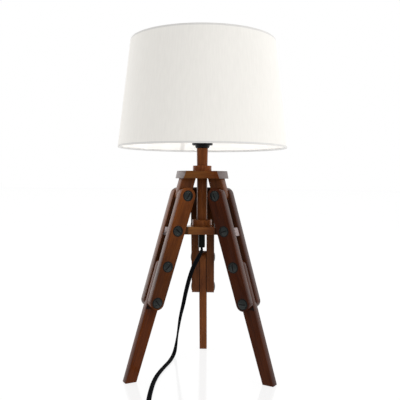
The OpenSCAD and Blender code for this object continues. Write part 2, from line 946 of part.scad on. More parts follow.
module plug_body() {
    corner = 3;
    relief_r = cord_w / 2 + 0.6;
    relief_root_r = 5;
    color("#131415")
        in_plug()
            difference() {
                union() {
                    rotate([0, 90, 0])
                        cylinder(h = plug_relief_l + eps, r1 = relief_r, r2 = relief_root_r);
                    translate([plug_relief_l, 0, 0])
                        intersection() {
                            translate([0, 0, -plug_t / 2])
                                linear_extrude(plug_t)
                                    polygon([[0, -7], [0, 7], [plug_l * 0.55, plug_w / 2],
                                        [plug_l, plug_w / 2], [plug_l, -plug_w / 2],
                                        [plug_l * 0.55, -plug_w / 2]]);
                            rotate([90, 0, 90])
                                linear_extrude(plug_l)
                                    plug_face(corner);
                        }
                }
                for (s = [-1, 1])
                    translate([plug_relief_l + plug_l - 8, s * pin_gap / 2, 0])
                        rotate([0, 90, 0])
                            cylinder(h = 9, r = pin_d / 2 + 0.02);
            }
}

module plug_face(corner) {
    wide = plug_w / 2 - corner;
    tall = plug_t / 2 - corner;
    for (x = [-1, 1], y = [-1, 1])
        translate([x * wide, y * tall])
            circle(corner);
    square([2 * wide, plug_t], center = true);
    square([plug_w, 2 * tall], center = true);
}

module plug_pins() {
    nose = 1;
    color("#b9bcc0")
        in_plug()
            for (s = [-1, 1])
                translate([plug_relief_l + plug_l - 8, s * pin_gap / 2, 0])
                    rotate([0, 90, 0])
                        rotate_extrude()
                            polygon([[0, 0], [pin_d / 2, 0], [pin_d / 2, pin_l + 8 - nose],
                                [pin_d / 2 - nose, pin_l + 8], [0, pin_l + 8]]);
}

head_plate();
head_collar();
at_leg("back") tongue();  // tongue_back
at_leg("left") tongue();  // tongue_left
at_leg("right") tongue();  // tongue_right
at_leg("back") outer_plate(-1);  // outer_plate_back_a
at_leg("back") outer_plate(1);  // outer_plate_back_b
at_leg("left") outer_plate(-1);  // outer_plate_left_a
at_leg("left") outer_plate(1);  // outer_plate_left_b
at_leg("right") outer_plate(-1);  // outer_plate_right_a
at_leg("right") outer_plate(1);  // outer_plate_right_b
at_leg("back") lower_leg();  // lower_leg_back
at_leg("left") lower_leg();  // lower_leg_left
at_leg("right") lower_leg();  // lower_leg_right
connector_bolts();
cap_nuts();
hub();
hub_collar();
column();
neck();
threaded_tube();
hub_washer();
hub_nut();
cord_gland();
holder_base();
holder_skirt();
holder_insert();
screw_shell();
centre_contact();
shade_ring_nut();
bulb_glass();
bulb_cap();
bulb_tip();
shade_cloth();
shade_liner();
shade_top_ring();
shade_low_ring();
shade_fitter();
inner_cord();
cord_run();
cord_lead();
cord_coil();
coil_tie();
switch_base();
switch_cover();
switch_rocker();
switch_pin();
plug_body();
plug_pins();
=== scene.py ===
"""Dresses the tripod table lamp: stained wood, dark bolts, cloth shade, flat lead, studio floor."""

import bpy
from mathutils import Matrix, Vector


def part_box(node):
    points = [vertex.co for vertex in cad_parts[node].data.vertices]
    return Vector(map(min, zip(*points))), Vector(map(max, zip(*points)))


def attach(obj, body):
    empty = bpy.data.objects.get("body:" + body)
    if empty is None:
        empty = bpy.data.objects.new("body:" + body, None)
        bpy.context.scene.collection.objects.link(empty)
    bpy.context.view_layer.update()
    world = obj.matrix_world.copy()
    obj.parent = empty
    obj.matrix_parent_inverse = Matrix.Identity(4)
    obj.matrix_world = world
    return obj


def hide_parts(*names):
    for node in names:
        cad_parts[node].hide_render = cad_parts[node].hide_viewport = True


bl_info = {
    "name": "Tripod Table Lamp",
    "version": (1, 0, 0),
    "blender": (4, 5, 0),
    "location": "View3D > Sidebar > Tripod Lamp",
    "description": "Builds the looks of a tripod table lamp round its packed solids",
    "category": "Add Mesh",
}

from math import atan2, cos, pi, radians, sin, sqrt, tan

import bmesh
import bpy
from bpy.props import (
    FloatProperty,
    FloatVectorProperty,
    IntProperty,
    PointerProperty,
)
from mathutils import Matrix, Vector

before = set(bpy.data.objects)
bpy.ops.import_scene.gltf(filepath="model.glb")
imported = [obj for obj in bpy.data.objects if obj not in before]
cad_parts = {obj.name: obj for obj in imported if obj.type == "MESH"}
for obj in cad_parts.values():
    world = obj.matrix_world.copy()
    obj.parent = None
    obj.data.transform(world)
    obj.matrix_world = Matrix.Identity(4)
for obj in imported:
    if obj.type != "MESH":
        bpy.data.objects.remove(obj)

MM = 0.001

# Places and angles that the looks share with the solids, in millimetres and degrees
LEG_ANGLES = {"back": 90, "left": 210, "right": 330}
LEG_SPLAY = 17.27
BOLT_HEAD_H = 2.2
SLOT_FLOOR_H = 1.2
SHADE_LOW_R = 150
SHADE_MID_R = 140
SHADE_TAPER = 22
SEAM_ANGLE = 108

# Where the look of the wood and its painted light and shade change, in metres: a pair gives the
# begin and the end of a change
INNER_FACE = (-4 * MM, -8 * MM)
UPPER_WOOD = (160 * MM, 300 * MM)
LEG_RIM = (5.8 * MM, 6.4 * MM)
CLAMPED_PART = (122 * MM, 124 * MM)
LEFT_TO_RIGHT = (-30 * MM, 25 * MM)
HUB_ARM = (32 * MM, 35 * MM)
HUB_TIP = 9 * MM
HEAD_CORNER = 40.5 * MM
SHARP_CHANGE = 0.3 * MM


# Settings


class LampWoodSettings(bpy.types.PropertyGroup):
    light: FloatVectorProperty(
        name="Light Stain",
        description="Colour of the wood where the stain is thin",
        subtype="COLOR",
        size=3,
        default=(0.168, 0.053, 0.0145),
        min=0,
        max=1,
    )
    dark: FloatVectorProperty(
        name="Dark Stain",
        description="Colour of the wood in its grain",
        subtype="COLOR",
        size=3,
        default=(0.036, 0.010, 0.0045),
        min=0,
        max=1,
    )
    roughness: FloatProperty(
        name="Roughness",
        description="Roughness of the lacquer",
        subtype="FACTOR",
        default=0.2,
        min=0,
        max=1,
    )
    edge: FloatProperty(
        name="Edge",
        description="Width of the eased edges of the boards",
        subtype="DISTANCE",
        unit="LENGTH",
        default=0.5 * MM,
        min=0,
        max=0.003,
    )


class LampShadeSettings(bpy.types.PropertyGroup):
    cloth: FloatVectorProperty(
        name="Cloth",
        description="Colour of the shade's cloth",
        subtype="COLOR",
        size=3,
        default=(0.805, 0.785, 0.745),
        min=0,
        max=1,
    )
    # The hem is greyer than the cloth: its own colour with a painted shade in the roll
    hem: FloatVectorProperty(
        name="Hem",
        description="Colour of the rolled edge along both rims",
        subtype="COLOR",
        size=3,
        default=(0.70, 0.69, 0.67),
        min=0,
        max=1,
    )
    # An emission painted into the cloth: a painted glow for daylight that comes through it
    glow: FloatProperty(
        name="Glow",
        description="Daylight that comes through the shade's cloth",
        default=0.12,
        min=0,
        max=1,
    )
    threads: FloatProperty(
        name="Threads",
        description="Threads of the weave in a metre",
        default=900.0,
        min=100,
        max=3000,
    )
    segments: IntProperty(
        name="Segments",
        description="Sides of the shade's round forms",
        default=192,
        min=48,
        max=384,
    )


class LampCordSettings(bpy.types.PropertyGroup):
    width: FloatProperty(
        name="Width",
        description="Width of the flat two-core lead",
        subtype="DISTANCE",
        unit="LENGTH",
        default=7.2 * MM,
        min=0.003,
        max=0.01,
    )
    thickness: FloatProperty(
        name="Thickness",
        description="Thickness of the flat two-core lead",
        subtype="DISTANCE",
        unit="LENGTH",
        default=3.8 * MM,
        min=0.002,
        max=0.006,
    )
    run_length: FloatProperty(
        name="Run",
        description="Length of the lead from the gland to the switch",
        subtype="DISTANCE",
        unit="LENGTH",
        default=0.573,
        min=0.3,
        max=1.5,
    )
    coil_length: FloatProperty(
        name="Coil",
        description="Length of the lead from the switch to the plug",
        subtype="DISTANCE",
        unit="LENGTH",
        default=1.193,
        min=0.5,
        max=3,
    )


class LampStageSettings(bpy.types.PropertyGroup):
    back_light: FloatProperty(
        name="Backdrop",
        description="Brightness of the white surroundings behind the lamp",
        default=1.0,
        min=0,
        max=4,
    )
    front_light: FloatProperty(
        name="Front",
        description="Brightness of the surroundings in front of the lamp",
        default=0.55,
        min=0,
        max=4,
    )
    left_box: FloatProperty(
        name="Left Box",
        description="Power of the soft light behind the lamp on the left",
        subtype="POWER",
        default=14.5,
        min=0,
        max=500,
    )
    right_box: FloatProperty(
        name="Right Box",
        description="Power of the soft light behind the lamp on the right",
        subtype="POWER",
        default=8.5,
        min=0,
        max=500,
    )
    key: FloatProperty(
        name="Key",
        description="Power of the soft light at the front on the right",
        subtype="POWER",
        default=16.0,
        min=0,
        max=500,
    )
    strip: FloatProperty(
        name="Strip",
        description="Power of the narrow upright light beside the camera",
        subtype="POWER",
        default=6.0,
        min=0,
        max=500,
    )
    fill: FloatProperty(
        name="Fill",
        description="Power of the soft light at the front on the left",
        subtype="POWER",
        default=2.5,
        min=0,
        max=500,
    )


# Materials


class Shader:
    """A node material in the making: the shader, its output and short ways to add nodes."""

    def __init__(self, name, grain=None):
        self.grain = grain or Matrix()
        self.material = bpy.data.materials.new(name)
        self.material.use_nodes = True
        self.tree = self.material.node_tree
        self.surface = self.tree.nodes["Principled BSDF"]
        self.output = self.tree.nodes["Material Output"]

    def feed(self, socket, value):
        """Links an input to the output of another node, or sets it to a plain value."""
        if isinstance(value, bpy.types.NodeSocket):
            self.tree.links.new(value, socket)
        else:
            socket.default_value = value

    def add(self, kind, links=None, **values):
        """Adds a node; values set its properties, or its inputs where they name one."""
        node = self.tree.nodes.new("ShaderNode" + kind)
        for key, value in values.items():
            if hasattr(node, key):
                setattr(node, key, value)
            else:
                node.inputs[key.replace("_", " ")].default_value = value
        for socket, source in (links or {}).items():
            self.tree.links.new(source, node.inputs[socket])
        return node

    def set(self, **values):
        """Sets or links inputs of the shader."""
        for key, value in values.items():
            self.feed(self.surface.inputs[key.replace("_", " ")], value)

    def place(self):
        """The piece's own coordinates."""
        return self.add("TexCoord").outputs["Object"]

    def part(self, vector, axis):
        return self.add("SeparateXYZ", {"Vector": vector}).outputs[axis]

    def math(self, operation, *values):
        """A number worked out from others."""
        node = self.add("Math", operation=operation)
        for socket, value in zip(node.inputs, values):
            self.feed(socket, value)
        return node.outputs[0]

    def vector(self, operation, *values):
        """A vector worked out from others, or a number for a dot product or a length."""
        node = self.add("VectorMath", operation=operation)
        for socket, value in zip(node.inputs, values):
            self.feed(socket, value)
        return node.outputs["Value" if operation in ("DOT_PRODUCT", "LENGTH") else "Vector"]

    def spread(self, value, begin, end, low=0.0, high=1.0):
        """A number that runs from low to high while the value runs from begin to end."""
        node = self.add("MapRange", {"Value": value}, From_Min=begin, From_Max=end)
        node.inputs["To Min"].default_value = low
        node.inputs["To Max"].default_value = high
        return node.outputs[0]

    def ramp(self, source, stops):
        node = self.add("ValToRGB", {"Fac": source})
        elements = node.color_ramp.elements
        while len(elements) < len(stops):
            elements.new(0.5)
        for element, (position, colour) in zip(elements, stops):
            element.position = position
            element.color = (*colour, 1)
        return node.outputs["Color"]

    def noise(self, vector, scale, detail=3.0, roughness=0.5, distortion=0.0):
        node = self.add(
            "TexNoise",
            {"Vector": vector},
            Scale=scale,
            Detail=detail,
            Roughness=roughness,
            Distortion=distortion,
        )
        return node.outputs["Fac"]

    def stretched(self, scale):
        """The piece's own coordinates turned to the grain, where x runs, and stretched."""
        node = self.add("Mapping", {"Vector": self.place()}, vector_type="TEXTURE")
        node.inputs["Rotation"].default_value = self.grain.to_euler()
        node.inputs["Scale"].default_value = [1 / x for x in scale]
        return node.outputs["Vector"]

    def bump(self, height, distance, strength):
        node = self.add("Bump", {"Height": height}, Distance=distance, Strength=strength)
        self.set(Normal=node.outputs["Normal"])

    def facing(self):
        return self.add("NewGeometry").outputs["Normal"]

    def inward(self, side):
        """1 on the faces that look towards the leg's middle plane, 0 on the others."""
        turned_out = self.vector("DOT_PRODUCT", self.facing(), side)
        offset = self.vector("DOT_PRODUCT", self.place(), side)
        return self.spread(self.math("MULTIPLY", turned_out, offset), *INNER_FACE)

    def levelled(self, vector):
        """The level part of a vector, and its direction."""
        level = self.vector("MULTIPLY", vector, (1, 1, 0))
        return level, self.vector("NORMALIZE", level)

    def mix(self, factor, first, second, blend="MIX"):
        node = self.add("Mix", data_type="RGBA", blend_type=blend)
        for socket, value in ((0, factor), (6, first), (7, second)):
            self.feed(node.inputs[socket], (*value, 1) if isinstance(value, tuple) else value)
        return node.outputs[2]

    def times(self, first, second):
        return self.mix(1.0, first, second, "MULTIPLY")


def scaled(colour, factor, warmth=(1, 1, 1)):
    return tuple(min(1.0, c * factor * w) for c, w in zip(colour, warmth))


def grained_stain(s, light, dark):
    """The stain with its streaks, clouds, fine lines and pores; gives clouds and pores too."""
    streaks = s.noise(s.stretched((7, 60, 60)), 1.0, 5.0, 0.6, 0.6)
    lines = s.noise(s.stretched((20, 520, 520)), 1.0, 3.0)
    clouds = s.noise(s.stretched((11, 34, 34)), 1.0, 2.0)
    pores = s.noise(s.stretched((70, 1500, 1500)), 1.0, 2.0)
    middle = tuple(0.55 * a + 0.45 * b for a, b in zip(light, dark))
    grained = s.ramp(streaks, [(0.28, middle), (0.5, scaled(light, 0.86)), (0.7, light)])
    clouded = s.ramp(clouds, [(0.32, (0.62, 0.56, 0.6)), (0.66, (1.12, 1.1, 1.0))])
    stained = s.times(grained, clouded)
    lined = s.ramp(lines, [(0.34, (0.74, 0.7, 0.7)), (0.56, (1.04, 1.04, 1.04))])
    stained = s.mix(0.8, stained, s.times(stained, lined))
    pored = s.ramp(pores, [(0.34, (0.55, 0.5, 0.5)), (0.46, (1, 1, 1))])
    stained = s.mix(0.5, stained, s.times(stained, pored))
    return stained, clouds, pores


def upper_wood(s, stained, dim, rise):
    """Wood that takes the colour dim higher up, a painted shade, or is multiplied by rise there."""
    high = s.spread(s.part(s.place(), "Z"), *UPPER_WOOD)
    if dim:
        stained = s.mix(high, stained, dim)
    lift = s.ramp(high, [(0.35, (1, 1, 1)), (0.8, (rise, rise, rise))])
    return s.times(stained, lift)


def painted_rim_shadow(s, stained, across, shadow):
    """A painted shadow along both rims of a lower leg where the plates clamp it."""
    where = s.place()
    offset = s.math("ABSOLUTE", s.vector("DOT_PRODUCT", where, across))
    rim = s.spread(offset, *LEG_RIM)
    held = s.spread(s.part(where, "Z"), *CLAMPED_PART)
    return s.mix(s.math("MULTIPLY", rim, held), stained, shadow)


# Painted light across the piece: lighter and yellower at the left, darker and redder at the right
def painted_light_left_to_right(s, stained):
    turning = s.ramp(
        s.spread(s.part(s.place(), "X"), *LEFT_TO_RIGHT),
        [(0.0, (1.3, 1.5, 1.8)), (1.0, (0.72, 0.5, 0.35))],
    )
    return s.times(stained, turning)


def arm_shade_and_tip_sheen(s, stained, tips, shadow, end_grain_and_sheen):
    """Arms in painted shade between the plates; pale tips beyond a line that leans with the legs.
    """
    where = s.place()
    away = s.vector("LENGTH", s.levelled(where)[0])
    stained = s.mix(s.spread(away, *HUB_ARM, high=0.8), stained, shadow)
    slope = tan(radians(LEG_SPLAY))
    leaning = s.math("MULTIPLY_ADD", s.part(where, "Z"), slope, away)
    # Pale tips: end grain with a painted sheen
    return s.mix(s.spread(leaning, tips, tips + SHARP_CHANGE), stained, end_grain_and_sheen)


def end_grain_with_sheen(s, stained, ends, end_grain_and_sheen):
    """End grain with a painted sheen on the upright faces that look outwards, further out than
    ends.
    """
    level, outwards = s.levelled(s.place())
    square = s.vector("DOT_PRODUCT", s.levelled(s.facing())[1], outwards)
    far = s.spread(s.vector("LENGTH", level), ends, ends + SHARP_CHANGE)
    cut = s.math("MULTIPLY", far, s.spread(square, 0.92, 0.93))
    return s.mix(cut, stained, end_grain_and_sheen)


def wood_material(
    name,
    light,
    dark,
    roughness,
    grain,
    side=None,
    inside=None,
    dusk=1.0,
    rise=1.0,
    rim_shadow_across=None,
    tips=0.0,
    ends=0.0,
    end_grain_and_sheen=(0.42, 0.345, 0.34),
    across=False,
    gloss=0.08,
):
    """Stained wood with streaks, pores and a thin lacquer.

    Faces that look inwards across side take the colour inside, a painted light and shade
    between the plates. Higher up a painted shade dims the wood to dusk where that is
    below 1, and it is multiplied by rise. A leg clamped across rim_shadow_across has a painted
    shadow along its rims. With across, a painted light runs over the piece: lighter and
    yellower at the left, darker and redder at the right. Arms are painted in shade and take the
    colour end_grain_and_sheen beyond tips, and end grain beyond ends takes it too: pale end
    grain with a painted sheen.
    """
    s = Shader(name, grain)
    stained, clouds, pores = grained_stain(s, light, dark)
    # Inner faces take a painted light and shade of their own
    if side:
        stained = s.mix(s.inward(side), stained, inside)
    # A painted shade higher up where dusk is below 1
    if dusk < 1 or rise != 1:
        dim = scaled(light, dusk * 0.5) if dusk < 1 else None
        stained = upper_wood(s, stained, dim, rise)
    # A painted shadow along the clamped rims
    if rim_shadow_across:
        stained = painted_rim_shadow(s, stained, rim_shadow_across, scaled(dark, 0.2))
    # Painted light: lighter at the left, darker and redder at the right
    if across:
        stained = painted_light_left_to_right(s, stained)
    # Painted shade on the arms, and pale end grain with a painted sheen on tips and ends
    if tips:
        stained = arm_shade_and_tip_sheen(s, stained, tips, scaled(dark, 0.3), end_grain_and_sheen)
    if ends:
        stained = end_grain_with_sheen(s, stained, ends, end_grain_and_sheen)
    worn = s.spread(clouds, 0, 1, roughness - 0.05, roughness + 0.08)
    s.set(Base_Color=stained, Roughness=worn, Specular_IOR_Level=gloss)
    s.bump(pores, 0.00006, 0.35)
    return s.material


def plain_material(name, colour, roughness, metallic=0.0, grain=0.0004, scale=350.0, **extra):
    """A plain finish with a slight unevenness in its colour, sheen and surface."""
    s = Shader(name)
    where = s.place()
    coarse = s.noise(where, scale * 0.25, 3.0)
    fine = s.noise(where, scale * 4, 2.0)
    tone = s.ramp(coarse, [(0.3, scaled(colour, 0.88)), (0.7, scaled(colour, 1.08))])
    even = s.spread(coarse, 0, 1, roughness * 0.85, roughness * 1.15)
    s.set(Base_Color=tone, Roughness=even, Metallic=metallic, **extra)
    s.bump(fine, grain, 0.4)
    return s.material


def cloth_material(name, colour, threads, radius, glow):
    """Plain woven cloth round an upright axis, threads up and round, with a painted glow for
    daylight.
    """
    s = Shader(name)
    where = s.place()
    turn = s.math("ARCTAN2", s.part(where, "Y"), s.part(where, "X"))

    def waves(source, rate):
        wave = s.math("SINE", s.math("MULTIPLY", source, rate))
        return s.math("MULTIPLY", wave, wave)

    up = waves(s.part(where, "Z"), threads * pi)
    round_it = waves(turn, threads * pi * radius)
    weave = s.math("ADD", up, round_it)
    slubs = s.noise(s.stretched((420, 420, 16)), 1.0, 4.0)
    blotch = s.noise(where, 9.0, 2.0)
    tone = s.ramp(slubs, [(0.3, scaled(colour, 0.97)), (0.7, scaled(colour, 1.015))])
    soft = s.ramp(blotch, [(0.3, (0.985, 0.985, 0.985)), (0.7, (1, 1, 1))])
    s.set(Base_Color=s.times(tone, soft), Roughness=0.85, Specular_IOR_Level=0.15)
    s.set(Sheen_Weight=0.15, Sheen_Roughness=0.5)
    # Painted glow: emission for daylight through the cloth
    s.set(Emission_Color=(1, 0.97, 0.91, 1), Emission_Strength=glow)
    s.bump(s.math("ADD", weave, slubs), 0.00012, 0.35)
    return s.material


# Meshes


def link(name, mesh, material, body="lamp", replaced=()):
    """Puts a mesh in the scene as a piece of the lamp."""
    piece = bpy.data.objects.new(name, mesh)
    bpy.context.scene.collection.objects.link(piece)
    mesh.materials.clear()
    mesh.materials.append(material)
    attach(piece, body)
    if replaced:
        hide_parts(*replaced)
    return piece


def mesh_of(name, points, faces, sharp=35):
    mesh = bpy.data.meshes.new(name)
    mesh.from_pydata(points, [], faces)
    tidy = bmesh.new()
    tidy.from_mesh(mesh)
    bmesh.ops.remove_doubles(tidy, verts=tidy.verts, dist=1e-6)
    bmesh.ops.recalc_face_normals(tidy, faces=tidy.faces)
    tidy.to_mesh(mesh)
    tidy.free()
    return shaded(mesh, sharp)


def shaded(mesh, sharp=35):
    mesh.shade_smooth()
    mesh.set_sharp_from_angle(angle=radians(sharp))
    return mesh


def turned(name, profile, sides):
    """A closed profile of radius and height, turned round the upright axis."""
    points = [
        (r * cos(2 * pi * k / sides), r * sin(2 * pi * k / sides), z)
        for k in range(sides)
        for r, z in profile
    ]
    n = len(profile)
    faces = [
        (k * n + j, (k + 1) % sides * n + j, (k + 1) % sides * n + (j + 1) % n, k * n + (j + 1) % n)
        for k in range(sides)
        for j in range(n)
    ]
    return mesh_of(name, points, faces)


# Faces that turn less than the first angle are joined, and edges sharper than the second eased
FLAT_ANGLE = radians(0.6)
EDGE_ANGLE = radians(32)


def eased(node, width, steps=2):
    """A copy of a node's mesh with its sharp edges rounded off."""
    work = bmesh.new()
    work.from_mesh(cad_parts[node].data)
    bmesh.ops.remove_doubles(work, verts=work.verts, dist=1e-6)
    bmesh.ops.dissolve_limit(work, angle_limit=FLAT_ANGLE, verts=work.verts, edges=work.edges)
    edges = [e for e in work.edges if len(e.link_faces) == 2 and e.calc_face_angle() > EDGE_ANGLE]
    if width > 0:
        bmesh.ops.bevel(
            work,
            geom=edges,
            offset=width,
            segments=steps,
            profile=0.6,
            affect="EDGES",
            clamp_overlap=True,
        )
    mesh = bpy.data.meshes.new(node)
    work.to_mesh(mesh)
    work.free()
    return shaded(mesh, 30)


def grain_turn(along, broad):
    """The turn that takes x along the grain and z out of a board's broad face."""
    x = Vector(along).normalized()
    z = (Vector(broad) - Vector(broad).dot(x) * x).normalized()
    return Matrix((x, z.cross(x), z)).transposed()


# Lead

# The way of the run in millimetres, and the turn of its wide side in degrees
ROUTE = [
    (0, 0, 222.6, -78),
    (0, 0, 219.6, -78),
    (0, 0, 216.6, -70),
    (-4, 7, 207, -52),
    (-10, 18, 195, -28),
    (-17, 30, 180, -10),
    (-24, 42, 159, 0),
    (-31, 54, 132, 8),
    (-37, 65, 104, 28),
    (-43, 75, 78, 55),
    (-47, 82, 54, 80),
    (-50, 87, 34, 98),
    (-52, 87, 20, 118),
    (-54, 81, 9, 145),
    (-56, 70, 3.6, 165),
    (-58, 56, 2, 180),
    (-61, 34, 2, 180),
    (-66, 10, 2, 180),
    (-71, -16, 2, 180),
    (-75, -44, 2, 180),
    (-77, -76, 2, 180),
    (-77, -106, 2, 182),
    (-76, -136, 2, 184),
    (-74, -160, 2, 190),
    (-68, -181, 2, 205),
    (-57, -197, 2, 228),
    (-43, -207, 3.6, 252),
    (-34, -210.4, 6, 264),
    (-28, -211, 7.3, 270),
    (-24, -211, 7.5, 270),
    (-19, -211, 7.5, 270),
]
SWITCH_LENGTH = 66.0
GRIP = 3.0
COIL_PITCH = 4.4
LAYER_PITCH = 7.8
COIL_Z = 3.6
COIL_OUTER = 38.5
LAYER_TURNS = 2.5
COIL_DIP = 2.6
LEAD = 40.0
COIL_X = ROUTE[-1][0] + SWITCH_LENGTH - 2 * GRIP + LEAD
COIL_Y = ROUTE[-1][1] - COIL_OUTER
TAIL = 34.0
PLUG_Z = 7.0
TIE = 1.0


def smooth(points, steps):
    """A smooth curve through the points; every number of a point is blended alike."""

    def at(k):
        return points[max(0, min(len(points) - 1, k))]

    out = []
    for k in range(len(points) - 1):
        a, b, c, d = at(k - 1), at(k), at(k + 1), at(k + 2)
        for step in range(steps):
            t = step / steps
            out.append(
                tuple(
                    0.5
                    * (
                        2 * q
                        + (r - p) * t
                        + (2 * p - 5 * q + 4 * r - s) * t * t
                        + (3 * q - p - 3 * r + s) * t**3
                    )
                    for p, q, r, s in zip(a, b, c, d)
                )
            )
    out.append(points[-1])
    return out


def ease(t):
    t = max(0.0, min(1.0, t))
    return t * t * (3 - 2 * t)


def coil_point(u):
    """A point of the coil after u turns, in millimetres."""
    if u < LAYER_TURNS:
        ring = LAYER_TURNS - u
    else:
        ring = max(0.0, u - LAYER_TURNS - 0.5)
    dip = COIL_DIP * cos(radians(min(90.0, abs(u - LAYER_TURNS - 0.25) * 90 / 0.35))) ** 2
    r = COIL_OUTER - LAYER_TURNS * COIL_PITCH + COIL_PITCH * ring - dip
    away = abs((u * 360 + 180) % 360 - 180 - 90) / 50
    lift = (TIE + 0.2) * (1 - ease(away))
    z = COIL_Z + LAYER_PITCH * ease((u - LAYER_TURNS - 0.1) / 0.3) + lift
    angle = radians(90 - 360 * u)
    return COIL_X + r * cos(angle), COIL_Y + r * sin(angle), z


def run_path():
    """The lead from the gland to the switch: its points and its wide side's direction."""
    points = smooth(ROUTE, 6)
    wides = [Vector((cos(radians(p[3])), sin(radians(p[3])), 0)) for p in points]
    return [Vector(p[:3]) * MM for p in points], wides


def coil_path():
    """The lead from the switch through the coil to the plug."""
    x, y, z = ROUTE[-1][:3]
    points, wides = [], []
    lead_rings = 20
    for k in range(lead_rings):
        t = k / lead_rings
        fall = ease((t * LEAD / (LEAD - 2 * COIL_Z) - 0.15) / 0.7)
        points.append((COIL_X - LEAD * (1 - t), y, z + fall * (COIL_Z - z)))
        wides.append(Vector((0, cos(fall * pi / 2), sin(fall * pi / 2))))
    turns = 2 * LAYER_TURNS + 0.5
    rings = int(turns * 48)
    for k in range(rings + 1):
        points.append(coil_point(k / 48))
        wides.append(Vector((0, 0, 1)))
    last = points[-1]
    tail_rings = 12
    for k in range(1, tail_rings + 1):
        t = k / tail_rings
        rise = ease(1.25 * t) * (PLUG_Z - last[2])
        points.append((COIL_X - TAIL * t, last[1], last[2] + rise))
        wides.append(Vector((0, 0, 1)))
    return [Vector(p) * MM for p in points], wides


def lead_section(width, thickness):
    """Two round cores side by side with a groove between them."""
    r = thickness / 2
    off = width / 2 - r
    reach = pi - atan2(sqrt(r * r - off * off), off)
    arc = [reach * (k / 5 - 1) for k in range(11)]
    right = [(off + r * cos(a), r * sin(a)) for a in arc[1:-1]]
    left = [(-x, -y) for x, y in right]
    groove = r * sin(reach)
    return [(0, -groove), *right, (0, groove), *left]


def swept(name, points, wides, section, swell=0.0):
    """A closed tube along a path; its section is wider by swell between the ends."""
    n, m = len(section), len(points)
    verts = []
    for k, point in enumerate(points):
        t = (points[min(m - 1, k + 1)] - points[max(0, k - 1)]).normalized()
        w = (wides[k] - wides[k].dot(t) * t).normalized()
        v = t.cross(w)
        wider = 1 + swell * ease(12 * min(k, m - 1 - k) / m)
        verts += [point + x * wider * w + y * v for x, y in section]
    faces = [
        (k * n + j, k * n + (j + 1) % n, (k + 1) * n + (j + 1) % n, (k + 1) * n + j)
        for k in range(m - 1)
        for j in range(n)
    ]
    faces += [tuple(range(n))[::-1], tuple((m - 1) * n + j for j in range(n))]
    return mesh_of(name, [tuple(p) for p in verts], faces, 50)


# Operators


# The camera fitted to the photograph: its turns in degrees, lens and place in millimetres
CAMERA_YAW, CAMERA_PITCH, CAMERA_ROLL = -2.203, 2.103, 0.406
CAMERA_LENS = 51.37
CAMERA_PLACE = (35.7, -1021.3, 345.1)


class LAMP_OT_camera(bpy.types.Operator):
    """Adds the camera at the photograph's viewpoint"""

    bl_idname = "lamp.camera"
    bl_label = "Add Camera"

    def execute(self, context):
        yaw, pitch, roll = radians(CAMERA_YAW), radians(CAMERA_PITCH), radians(CAMERA_ROLL)
        forward = Vector((sin(yaw) * cos(pitch), cos(yaw) * cos(pitch), -sin(pitch)))
        level = Vector((cos(yaw), -sin(yaw), 0))
        upright = level.cross(forward)
        right = level * cos(roll) + upright * sin(roll)
        up = upright * cos(roll) - level * sin(roll)
        data = bpy.data.cameras.new("camera")
        data.sensor_width = 36
        data.lens = CAMERA_LENS
        camera = bpy.data.objects.new("camera", data)
        place = Matrix((right, up, -forward)).transposed().to_4x4()
        place.translation = Vector(CAMERA_PLACE) * MM
        camera.matrix_world = place
        context.scene.collection.objects.link(camera)
        context.scene.camera = camera
        return {"FINISHED"}


class LAMP_OT_lead(bpy.types.Operator):
    """Builds the flat lead and dresses its switch, tie and plug"""

    bl_idname = "lamp.lead"
    bl_label = "Build Lead"

    def execute(self, context):
        cord = context.scene.lamp_cord
        sheath = plain_material(
            "lead_sheath", (0.006, 0.006, 0.007), 0.35, scale=120.0, Specular_IOR_Level=0.002
        )
        plastic = plain_material(
            "lead_fittings", (0.007, 0.007, 0.008), 0.4, scale=500.0, Specular_IOR_Level=0.1
        )
        rubber = plain_material(
            "rocker", (0.01, 0.01, 0.011), 0.3, scale=500.0, Specular_IOR_Level=0.2
        )
        nickel = plain_material("plug_pins", (0.62, 0.6, 0.56), 0.25, 1.0, 0.0001)
        section = lead_section(cord.width, cord.thickness)
        points, wides = run_path()
        run = link("lead_run", swept("lead_run", points, wides, section, 0.1), sheath)
        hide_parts("cord_run")
        far, far_wides = coil_path()
        coil = link("lead_coil", swept("lead_coil", far, far_wides, section), sheath)
        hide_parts("cord_lead", "cord_coil")
        dress("inner_cord", sheath)
        for name in ("switch_base", "switch_cover", "plug_body"):
            piece = link(name + "_eased", eased(name, 0.7 * MM), plastic)
            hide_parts(name)
        tie = link("coil_tie_eased", eased("coil_tie", 0.2 * MM, 1), plastic)
        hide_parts("coil_tie")
        rocker = link(
            "rocker_eased", eased("switch_rocker", 0.3 * MM), rubber, "rocker"
        )
        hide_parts("switch_rocker")
        dress("switch_pin", nickel)
        dress("plug_pins", nickel)
        return {"FINISHED"}


def dress(name, material):
    """Gives a CAD node its material and smooth shading."""
    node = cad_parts[name]
    node.data.materials.clear()
    node.data.materials.append(material)
    shaded(node.data, 30)
    return node


